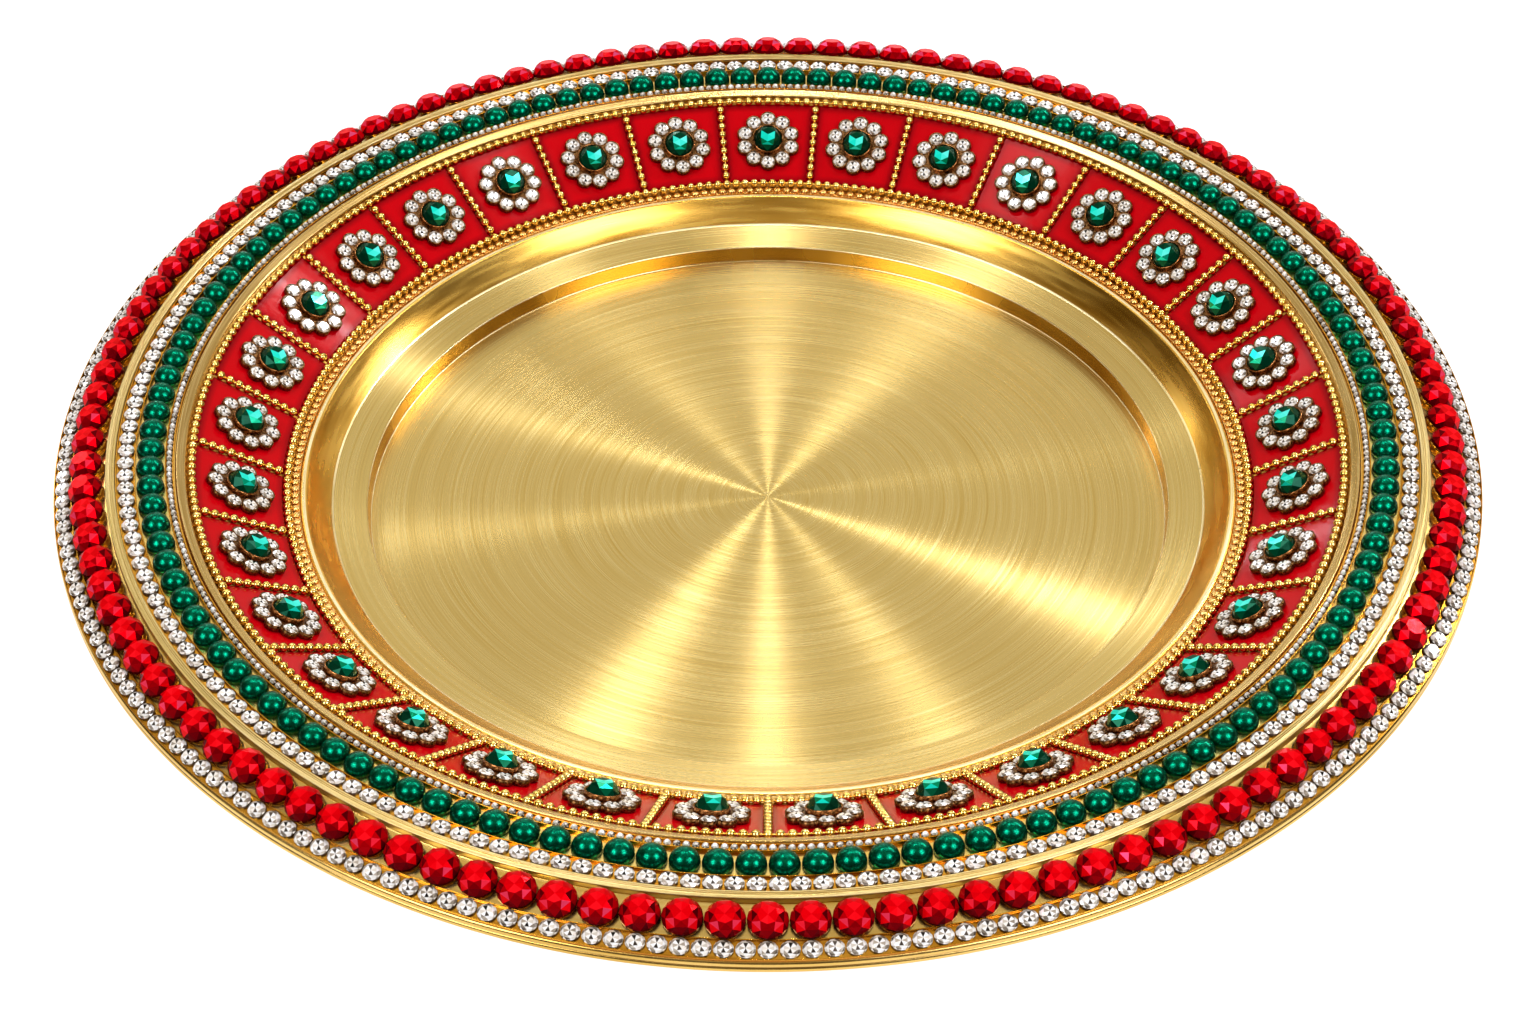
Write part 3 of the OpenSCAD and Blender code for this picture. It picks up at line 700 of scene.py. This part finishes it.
# Large red stones, and the green ones of the medallions; those at the back of the plate get a painted
# highlight, a lift of their tones that grows towards the back
def largeStones(name, cut, seats, finish, node, paintedTones, turn=0, stretch=1, lean=0, backHighlight=0):
    look = {"jitter": 0.08, "ofStone": 0.03, "ofFacet": 0.05}
    shape = cutStone(**cut)
    back = np.maximum(seats[:, 1, 3] / np.abs(seats[:, 1, 3]).max(), 0)
    paintedTones = paintedFacetLight(shape, len(seats), paintedTones, turn, look["ofStone"], look["ofFacet"],
                       backHighlight * back ** 2)
    makePiece(name, copied(shape, facingFront(seats, turn, look["jitter"], stretch, lean)), [finish],
              node, smooth=False, paintedTones=paintedTones)


# Clear crystals: two for each red stone in the outer row, and as many as fit in the middle one
rubyCount = chordsRound(rows["ruby"] + rows["rubyGap"], rubyRadius)
crystals = {"lift": 0.34, "gap": 0.6, "stretch": 1.1,
            "cut": {"diameter": rows["crystal"], "height": 1.15, "girdle": 0.5, "table": 0.64,
                    "breakAt": 0.86, "breakUp": 0.5}}
smallStones("outerCrystals", crystals["cut"],
            seatsRound(2 * rubyCount, outerCrystalRadius, rimHeight(outerCrystalRadius),
                       rows["rimSlope"], crystals["lift"]),
            "outer_crystals", crystals["stretch"])
middleCount = int(fullTurn * middleCrystalRadius / (rows["crystal"] + crystals["gap"]))
smallStones("middleCrystals", crystals["cut"],
            seatsRound(middleCount, middleCrystalRadius, crestHeight, 0, crystals["lift"]),
            "middle_crystals", crystals["stretch"])

# Stones of the fine chain, which differ more from one to the next
chips = {"lift": 0.34, "gap": 0.6, "stretch": 1.2, "ofStone": 0.2,
         "cut": {"diameter": rows["chip"], "height": 1.0, "girdle": 0.4, "table": 0.5,
                 "breakAt": 0.8, "breakUp": 0.6, "fold": 6}}
chipCount = int(fullTurn * chipRadius / (rows["chip"] + chips["gap"]))
smallStones("fineCrystals", chips["cut"],
            seatsRound(chipCount, chipRadius, crestHeight, 0, chips["lift"]),
            "fine_crystals", chips["stretch"], chips["ofStone"])


# Cup under a red stone: a foot, a waist and a rolled lip
def rubyCups():
    look = {"diameter": 6.8, "height": 1.05, "foot": 0.86, "waist": 0.8, "waistAt": 0.3,
            "flareAt": 0.62, "lipAt": 0.8, "lip": 0.2, "columns": 24}
    r, h, lip = look["diameter"] / 2, look["height"], look["lip"]
    profile = [(0, 0), (r * look["foot"], 0), (r * look["waist"], h * look["waistAt"]),
               (r - lip, h * look["flareAt"]), (r, h * look["lipAt"]), (r - lip / 2, h), (0, h)]
    cup = lathe(profile, look["columns"], wrapRows=False)
    seats = seatsRound(rubyCount, rubyRadius, rimHeight(rubyRadius), rows["rimSlope"], rows["seat"])
    makePiece("rubyCups", copied(cup, seats), [cupGilt], "ruby_cups")


rubyCups()

rubies = {"lift": 1.09, "turn": np.pi / 8, "stretch": 1.03, "backHighlight": 0.1,
          "cut": {"diameter": rows["ruby"], "height": 3.0, "girdle": 0.7, "table": 0.5,
                  "breakAt": 0.82, "breakUp": 0.64}}
largeStones("rubyStones", rubies["cut"],
            seatsRound(rubyCount, rubyRadius, rimHeight(rubyRadius), rows["rimSlope"], rubies["lift"]),
            rubyGlass, "ruby_stones", rubyPaintedLight, rubies["turn"], rubies["stretch"],
            backHighlight=rubies["backHighlight"])


# Flat hoop: rounded shoulders, a raised border outside, and inside two grooves as wide as they are deep
def outerBand():
    look = {"height": 1.3, "shoulder": 0.12, "groove": 0.2, "grooveLean": 0.1, "border": 0.4,
            "soft": 0.03, "softSteps": 2}
    w, h, s, g = rows["outerBand"], look["height"], look["shoulder"], look["groove"]
    step = w - look["border"]
    top = [(w, 0), (w, h - s), (w - s, h), (step, h), (step - g / 2, h - g / 2), (step - g, h - g / 4),
           (6 * g, h - g / 4), (5 * g, h), ((5 - look["grooveLean"]) * g, h - g), (4 * g, h - g),
           (4 * g, h), (3 * g, h), (3 * g, h - g), (2 * g, h - g), (2 * g, h), (s, h), (0, h - s), (0, 0)]
    section = softened(top, look["soft"], look["softSteps"])
    makePiece("outerBand", lathe(onSlope(section, bandIn, crestHeight, 0)), [bandBrass],
              "outer_gold_band")


outerBand()


# Sloping hoop: a flat between two rounded shoulders
def innerBand():
    look = {"thick": 1.0, "shoulder": 0.3, "shoulderSteps": 5}
    section = hoopSection(rows["gap"], rows["innerBand"], look["thick"], look["shoulder"],
                          look["shoulderSteps"])
    makePiece("innerBand", lathe(onSlope(section, panelTop, panelTopHeight, -rows["bandSlope"])),
              [innerBandBrass], "inner_gold_band")


innerBand()


# Half pearls on the crest: the part of a ball above a flat foot, which lies lift below the ball's middle
def greenPearls():
    look = {"lift": 0.3, "gap": 0.2, "columns": 20, "rings": 8, "stretch": 1.02}
    r = rows["pearl"] / 2
    angle = np.linspace(-np.arcsin(look["lift"] / r), quarterTurn, look["rings"])
    dome = np.stack([np.cos(angle) * r, np.sin(angle) * r + look["lift"]], axis=1)
    dome[-1, 0] = 0
    pearl = lathe(np.vstack([[(0, 0)], dome]), look["columns"], wrapRows=False)
    count = chordsRound(rows["pearl"] + look["gap"], pearlRadius)
    seats = seatsRound(count, pearlRadius, crestHeight, 0, rows["seat"])
    makePiece("greenPearls", copied(pearl, seats @ np.diag([1, look["stretch"], 1, 1])), [pearlGreen],
              "green_pearls")


greenPearls()


# Ring chain: balls with a waisted link between each two, as many as fit over each panel
def ringChain(name, radius, node):
    look = {"gap": 0.2, "link": 0.42, "linkEnd": 0.6, "sink": 0.12, "columns": 8}
    d, slope = rows["ball"], rows["panelSlope"]
    count = rows["panels"] * int(fullTurn * radius / rows["panels"] / (d + look["gap"]))
    first = quarterTurn + np.pi / rows["panels"]
    lift = d / 2 + rows["seat"]
    seats = seatsRound(count, radius, panelHeight(radius), -slope, lift, first)
    balls = copied(ball(d), seats)
    centre = radius - lift * np.sin(slope)
    half = centre * np.sin(np.pi / count) - d / 2 + look["sink"]
    end = look["link"] * look["linkEnd"]
    link = lathe([(0, -half), (end, -half), (look["link"] / 2, 0), (end, half), (0, half)],
                 look["columns"], wrapRows=False)
    turns = turnedBy(first + (np.arange(count) + 0.5) * fullTurn / count, "z")
    place = turns @ movedBy(centre * np.cos(np.pi / count), 0, panelHeight(radius) + lift * np.cos(slope))
    links = copied(link, place @ turnedBy(quarterTurn, "x"))
    makePiece(name, joined(balls, links), [chainGilt], node)


ringChain("outerChain", outerChainRadius, "outer_ball_chain")
ringChain("innerChain", innerChainRadius, "inner_ball_chain")


# Strands up the slope between the panels: balls threaded on a wire from the first to the last
def radialChains():
    look = {"gap": 0.12, "wire": 0.6, "columns": 8}
    slope, d = rows["panelSlope"], rows["ball"]
    slant = rows["panelWidth"] / np.cos(slope)
    pitches = int(slant / (d + look["gap"]))
    pitch = slant / pitches
    k = np.arange(1, pitches)
    length = (pitches - 2) * pitch
    wire = lathe([(0, 0), (look["wire"] / 2, 0), (look["wire"] / 2, length), (0, length)],
                 look["columns"], wrapRows=False)
    wire = copied(wire, movedBy(pitch) @ turnedBy(quarterTurn, "y"))
    strand = joined(copied(ball(d), movedBy(k * pitch)), wire)
    seats = seatsRound(rows["panels"], innerChainRadius, panelHeight(innerChainRadius), -slope,
                       d / 2 + rows["seat"], quarterTurn + np.pi / rows["panels"])
    makePiece("radialChains", copied(strand, seats), [chainGilt], "radial_ball_chains")


radialChains()


# Fine trim: low beads stamped on a thin strip
def beadedTrim():
    look = {"strip": 0.3, "soft": 0.08, "softSteps": 3, "gap": 0.3, "flat": 0.3, "columns": 10,
            "rings": 5}
    d = rows["bead"]
    section = hoopSection(-d / 2, d / 2, look["strip"], look["soft"], look["softSteps"])
    strip = lathe(onSlope(section, trimRadius, shelfHeight, 0))
    count = int(fullTurn * trimRadius / (d + look["gap"]))
    lift = look["strip"] + d / 2 * look["flat"] + 2 * rows["seat"]
    seats = seatsRound(count, trimRadius, shelfHeight, 0, lift) @ np.diag([1, 1, look["flat"], 1])
    beads = copied(ball(d, look["columns"], look["rings"]), seats)
    makePiece("beadedTrim", joined(strip, beads), [trimGilt], "beaded_trim")


beadedTrim()


# Enamel: it fills each field up to the chains round it and thins out under their balls. Its height there
# is r - sqrt(r^2 - d^2), with d the distance from the middle of the chain and r the radius of a ball.
def enamelPanels():
    look = {"clear": 0.06, "reach": 0.35, "across": 18, "up": 14, "border": 7, "shade": 1.5}
    slope, r = rows["panelSlope"], rows["ball"] / 2
    slant = rows["panelWidth"] / np.cos(slope)
    rim = np.linspace(look["reach"], r + look["clear"], look["border"])
    v = np.concatenate([rim, np.linspace(rim[-1], slant - rim[-1], look["up"])[1:-1], slant - rim[::-1]])
    radius = innerChainRadius + v * np.cos(slope)
    half = (radius * np.sin(np.pi / rows["panels"]))[:, None]
    t = np.linspace(-1, 1, look["across"])[1:-1]
    x = np.concatenate([rim - half, (half - rim[-1]) * t, half - rim[::-1]], axis=1)
    fromChain = np.minimum(half - np.abs(x), np.minimum(v, slant - v)[:, None])
    room = np.clip(fromChain - look["clear"], 0, r)
    height = np.minimum(rows["enamel"], r - np.sqrt(r ** 2 - room ** 2))
    angle = np.arcsin(x / radius[:, None])

    def placed(lift):
        out = radius[:, None] - lift * np.sin(slope)
        up = panelHeight(innerChainRadius) + v[:, None] * np.sin(slope) + lift * np.cos(slope)
        return np.stack([out * np.cos(angle), out * np.sin(angle), up + 0 * angle], axis=-1)

    top, under = placed(height + rows["seat"]), placed(rows["seat"] + 0 * height)
    points = np.concatenate([top.reshape(-1, 3), under.reshape(-1, 3)])
    size = top.shape[0] * top.shape[1]
    ids = np.arange(size).reshape(top.shape[:2])
    quads = np.stack([ids[:-1, :-1], ids[:-1, 1:], ids[1:, 1:], ids[1:, :-1]], axis=-1).reshape(-1, 4)
    loop = np.concatenate([ids[0, :-1], ids[:-1, -1], ids[-1, :0:-1], ids[:0:-1, 0]])
    side = np.stack([loop, np.roll(loop, -1), np.roll(loop, -1) + size, loop + size], axis=1)
    panel = outward(points, [quads, quads[:, ::-1] + size, side[:, ::-1]])
    seats = turnedBy(quarterTurn + np.arange(rows["panels"]) * fullTurn / rows["panels"], "z")
    piece = makePiece("enamelPanels", copied(panel, seats), [enamel], "red_enamel_panels")
    # Depth drives painted shade of the chains: darkest under their balls, full red from shade mm beyond
    # them
    depth = np.clip((fromChain - r) / look["shade"], 0, 1)
    depth = np.tile(np.concatenate([depth.ravel(), 0 * depth.ravel()]), rows["panels"])
    piece.data.attributes.new("depth", "FLOAT", "POINT").data.foreach_set("value", depth)


enamelPanels()


# Medallion: ten clear petals round an emerald, in a scalloped setting. A panel is hollow from side to
# side, so a flat setting rests on its two sides, sag above the panel's middle.
medallion = {
    "petals": 10, "ring": 5.8, "rim": 0.35, "height": 1.3, "pocket": 0.5, "clear": 0.05, "wall": 0.35,
    "collar": 1.1, "stretch": 1.06, "lean": 0.5,
    "petal": {"diameter": 3.1, "height": 1.05, "girdle": 0.55, "table": 0.64, "breakAt": 0.86,
              "breakUp": 0.5},
    "emerald": {"diameter": 6.6, "height": 3.1, "girdle": 0.8, "table": 0.58, "breakAt": 0.82,
                "breakUp": 0.64, "fold": 6},
}
lobe = medallion["petal"]["diameter"] / 2 + medallion["rim"]
sag = (medallion["ring"] + lobe) ** 2 * np.sin(rows["panelSlope"]) / (2 * panelMiddle)
medallionSeats = seatsRound(rows["panels"], panelMiddle, panelHeight(panelMiddle), -rows["panelSlope"],
                            rows["enamel"] + sag + 2 * rows["seat"])
settingTops = medallionSeats @ movedBy(0, 0, medallion["height"] + rows["seat"])
petalTurns = turnedBy(np.arange(medallion["petals"]) * fullTurn / medallion["petals"], "z")
petalSeats = petalTurns @ movedBy(medallion["ring"])
pocketFloor = movedBy(0, 0, medallion["height"] - medallion["pocket"] + rows["seat"])


# Setting: the outline is the far side of ten overlapping circles, reach = ring cos(a) +
# sqrt(lobe^2 - (ring sin(a))^2) with a the angle from the nearest petal; each petal has a rolled rim
def medallionSettings():
    look = {"steps": 12, "bevel": 0.2, "inner": 0.6, "wireRadius": 0.2, "wireFlat": 0.8,
            "wireSteps": 6, "ringSteps": 16}
    count, ring = medallion["petals"], medallion["ring"]
    angle = np.arange(count * look["steps"]) * fullTurn / (count * look["steps"])
    fromPetal = (angle + np.pi / count) % (fullTurn / count) - np.pi / count
    far = ring * np.cos(fromPetal) + np.sqrt(lobe ** 2 - (ring * np.sin(fromPetal)) ** 2)
    h, b, inner, wire = medallion["height"], look["bevel"], look["inner"], look["wireRadius"]
    profile = [(0, 0, 0), (inner, 0, 0), (1, -b, 0), (1, 0, b), (1, 0, h - b), (1, -b, h),
               (inner, 0, h), (0, 0, h)]
    share, inset, height = np.array(profile).T[:, :, None]
    radius = share * far + inset
    radius[[0, -1]] = 0
    points = np.stack([radius * np.cos(angle), radius * np.sin(angle), height + 0 * radius], axis=-1)
    base = surface(points)
    tube = np.linspace(0, fullTurn, look["wireSteps"], endpoint=False)
    rimRadius = medallion["petal"]["diameter"] / 2 + medallion["clear"] + wire / 2
    rim = lathe(np.stack([rimRadius + wire * np.cos(tube), h + wire * look["wireFlat"] * np.sin(tube)],
                         axis=1), look["ringSteps"])
    whole = joined(base, copied(rim, petalSeats))
    makePiece("medallionSettings", copied(whole, medallionSeats), [bronze], "medallion_settings")


medallionSettings()


# Collet: a thin wall with a rolled top, round the emerald
def medallionBezels():
    look = {"roll": 0.15, "rollSteps": 3, "columns": 36}
    inner = medallion["emerald"]["diameter"] / 2 + medallion["clear"]
    section = hoopSection(inner, inner + medallion["wall"], medallion["collar"], look["roll"],
                          look["rollSteps"])
    makePiece("medallionBezels", copied(lathe(section, look["columns"]), settingTops), [collet],
              "medallion_bezels")


medallionBezels()
largeStones("medallionEmeralds", medallion["emerald"], settingTops, emeraldGlass, "medallion_emeralds",
            emeraldPaintedLight, lean=medallion["lean"])
smallStones("medallionCrystals", medallion["petal"],
            (medallionSeats[:, None] @ petalSeats[None]).reshape(-1, 4, 4) @ pocketFloor,
            "medallion_crystals", medallion["stretch"])
print("object dressed")


# White table, with a glow of its own that keeps it pale all over
def paleTable():
    look = {"colour": "#8c8c8c", "roughness": 0.9, "glow": 1.0, "size": 12.0}
    finish, tree = newFinish("paleTable")
    board = addNode(tree, "BsdfPrincipled", {
        "Base Color": toLinear(look["colour"]), "Roughness": look["roughness"],
        "Emission Color": toLinear("#ffffff"), "Emission Strength": look["glow"]})
    addNode(tree, "OutputMaterial", {"Surface": board.outputs[0]})
    half = look["size"] / 2
    corners = [(-half, -half, 0), (half, -half, 0), (half, half, 0), (-half, half, 0)]
    mesh = bpy.data.meshes.new("table")
    mesh.from_pydata(corners, [], [(0, 1, 2, 3)])
    mesh.materials.append(finish)
    table = bpy.data.objects.new("table", mesh)
    bpy.context.scene.collection.objects.link(table)


paleTable()


# Soft surround, brighter behind the plate and above it than at the camera's side: its level is the
# direction . towards, from the least one up, less sides x^2
def softSurround():
    look = {"towards": (0, 0.9, 0.43), "least": -0.6, "sides": 0.9, "strength": 1.0,
            "stops": [(0.0, "#54482f"), (1.0, "#ffffff"), (0.2, "#8c7c5c"), (0.4, "#b0a48a"),
                      (0.64, "#ccc4b4"), (0.86, "#b8b09e"), (0.968, "#fffdf8")]}
    world = bpy.data.worlds.new("softSurround")
    bpy.context.scene.world = world
    world.use_nodes = True
    tree = world.node_tree
    tree.nodes.clear()
    way = addNode(tree, "TexCoord").outputs["Generated"]
    back = addNode(tree, "VectorMath", {0: way, 1: look["towards"]}, operation="DOT_PRODUCT")
    level = addNode(tree, "MapRange", {0: back.outputs["Value"], 1: look["least"], 2: 1.0})
    x = addNode(tree, "SeparateXYZ", {0: way}).outputs[0]
    wide = addNode(tree, "Math", {0: x, 1: x}, operation="MULTIPLY").outputs[0]
    shade = addNode(tree, "Math", {0: wide, 1: -look["sides"], 2: level.outputs[0]},
                    operation="MULTIPLY_ADD")
    colour = addNode(tree, "ValToRGB", {0: shade.outputs[0]}, stops=look["stops"])
    sky = addNode(tree, "Background", {"Color": colour.outputs[0], "Strength": look["strength"]})
    addNode(tree, "OutputWorld", {"Surface": sky.outputs[0]})


softSurround()

lamps = {"distance": 1.3, "colour": "#f2f4ff", "frontSize": 0.55, "frontRadiance": 9,
         "frontPlace": (0.55, -0.5, 0.67), "mirror": np.cos(np.radians(40.6))}


# Area lamp: its energy is radiance x area x pi
def hangLamp(name, length, width, radiance, place):
    lamp = bpy.data.lights.new(name, "AREA")
    lamp.shape = "RECTANGLE"
    lamp.size, lamp.size_y = length, width
    lamp.energy = radiance * length * width * np.pi
    lamp.color = toLinear(lamps["colour"])[:3]
    holder = bpy.data.objects.new(name, lamp)
    holder.matrix_world = place
    bpy.context.scene.collection.objects.link(holder)


# Strip lamps for the lines on the brushed floor. A strip in the plane of one radius of the floor draws
# its light along that radius. Its ends lie at shares of that radius from the direction that the floor
# mirrors to the camera: place = share x (cos, sin of the line's angle) + mirror, at the lamps' distance.
def stripLamps():
    strips = {  # angle of the line: start share, end share, width, radiance
        151.5: (-0.45, -0.95, 0.008, 310),
        -28.5: (-0.27, -0.33, 0.02, 22),  # across from the first, for the line's far half
        90: (-0.35, -0.52, 0.012, 130),
        -90: (-0.19, -0.22, 0.03, 12),  # across from the line at 90, for the front of the ledge
        62: (-0.35, -0.68, 0.12, 13),
        119: (-0.37, -0.66, 0.08, 11),
        12: (-0.4, -0.75, 0.07, 7),
    }
    for angle, (start, end, width, radiance) in strips.items():
        along = np.array([np.cos(np.radians(angle)), np.sin(np.radians(angle)), 0])
        flat = np.outer([start, end], along) + (0, lamps["mirror"], 0)
        flat[:, 2] = np.sqrt(1 - (flat ** 2).sum(axis=1))
        a, b = flat * lamps["distance"]
        length, centre = np.linalg.norm(b - a), (a + b) / 2
        x = (b - a) / length
        z = centre - x * (centre @ x)
        z /= np.linalg.norm(z)
        place = np.eye(4)
        place[:3, 0], place[:3, 1], place[:3, 2], place[:3, 3] = x, np.cross(z, x), z, centre
        hangLamp(f"strip{angle:.0f}", length, width, radiance, Matrix(place.tolist()))


# Two soft lamps beside the camera, for the spots on the pearls and the stones
def frontLamps():
    size = lamps["frontSize"]
    for name, side in (("frontleft", -1), ("frontright", 1)):
        way = Vector(lamps["frontPlace"]).normalized()
        way.x *= side
        turn = way.to_track_quat("Z", "Y").to_matrix().to_4x4()
        place = Matrix.Translation(way * lamps["distance"]) @ turn
        hangLamp(name, size, size, lamps["frontRadiance"], place)


stripLamps()
frontLamps()
print("studio lit")


# Camera: about forty degrees above the table, as the photograph was taken
def placeCamera():
    look = {"place": (0, -0.5729, 0.4879), "tilt": np.radians(49.38), "lens": 80.3, "sensor": 36,
            "clipStart": 0.02, "clipEnd": 20}
    camera = bpy.data.cameras.new("camera")
    camera.lens, camera.sensor_width = look["lens"], look["sensor"]
    camera.clip_start, camera.clip_end = look["clipStart"], look["clipEnd"]
    holder = bpy.data.objects.new("camera", camera)
    holder.location = look["place"]
    holder.rotation_euler = (look["tilt"], 0, 0)
    bpy.context.scene.collection.objects.link(holder)
    bpy.context.scene.camera = holder


placeCamera()
view = bpy.context.scene.view_settings
view.view_transform, view.look = "Standard", "None"
print("camera placed")
